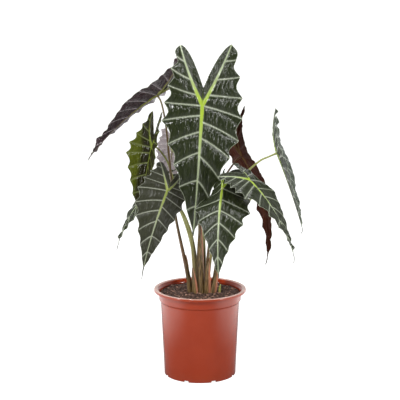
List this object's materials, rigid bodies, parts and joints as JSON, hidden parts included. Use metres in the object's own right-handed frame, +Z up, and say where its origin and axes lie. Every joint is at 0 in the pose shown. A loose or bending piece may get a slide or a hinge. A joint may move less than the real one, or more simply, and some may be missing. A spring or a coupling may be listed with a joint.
{
  "type": "potted alocasia",
  "caption": "Alocasia house plant with dark arrow-shaped, pale-veined leaves on long stalks, standing in a round terracotta-coloured plastic nursery pot of soil.",
  "frame": {"origin": "centre of the pot's foot, on the surface the pot stands on", "axes": "+Z up along the pot's axis; +X to the right and +Y away from a viewer who faces the largest leaf"},
  "size_m": [0.385, 0.2717, 0.61],
  "materials": {
    "pot_plastic": "terracotta-coloured moulded plastic, satin gloss",
    "soil": "dark crumbly potting mix of peat and bark",
    "rhizome": "rough brown root skin",
    "leaf_blade": "glossy dark green above with pale veins, purple beneath",
    "leaf_stalk": "smooth olive green, browner at the foot",
    "sheath": "dry pinkish brown papery sheath",
    "shoot": "fresh light green shoot"
  },
  "bodies": {
    "root": {"pot": "pot_plastic", "soil": "soil", "rhizome": "rhizome", "leaf_01_blade": "leaf_blade", "leaf_02_blade": "leaf_blade", "leaf_03_blade": "leaf_blade", "leaf_04_blade": "leaf_blade", "leaf_05_blade": "leaf_blade", "leaf_06_blade": "leaf_blade", "leaf_07_blade": "leaf_blade", "leaf_08_blade": "leaf_blade", "leaf_09_blade": "leaf_blade", "leaf_10_blade": "leaf_blade", "leaf_01_stalk": "leaf_stalk", "leaf_02_stalk": "leaf_stalk", "leaf_03_stalk": "leaf_stalk", "leaf_04_stalk": "leaf_stalk", "leaf_05_stalk": "leaf_stalk", "leaf_06_stalk": "leaf_stalk", "leaf_07_stalk": "leaf_stalk", "leaf_08_stalk": "leaf_stalk", "leaf_09_stalk": "leaf_stalk", "leaf_10_stalk": "leaf_stalk", "sheath_1": "sheath", "sheath_2": "sheath", "new_shoot": "shoot"}
  },
  "joints": []
}
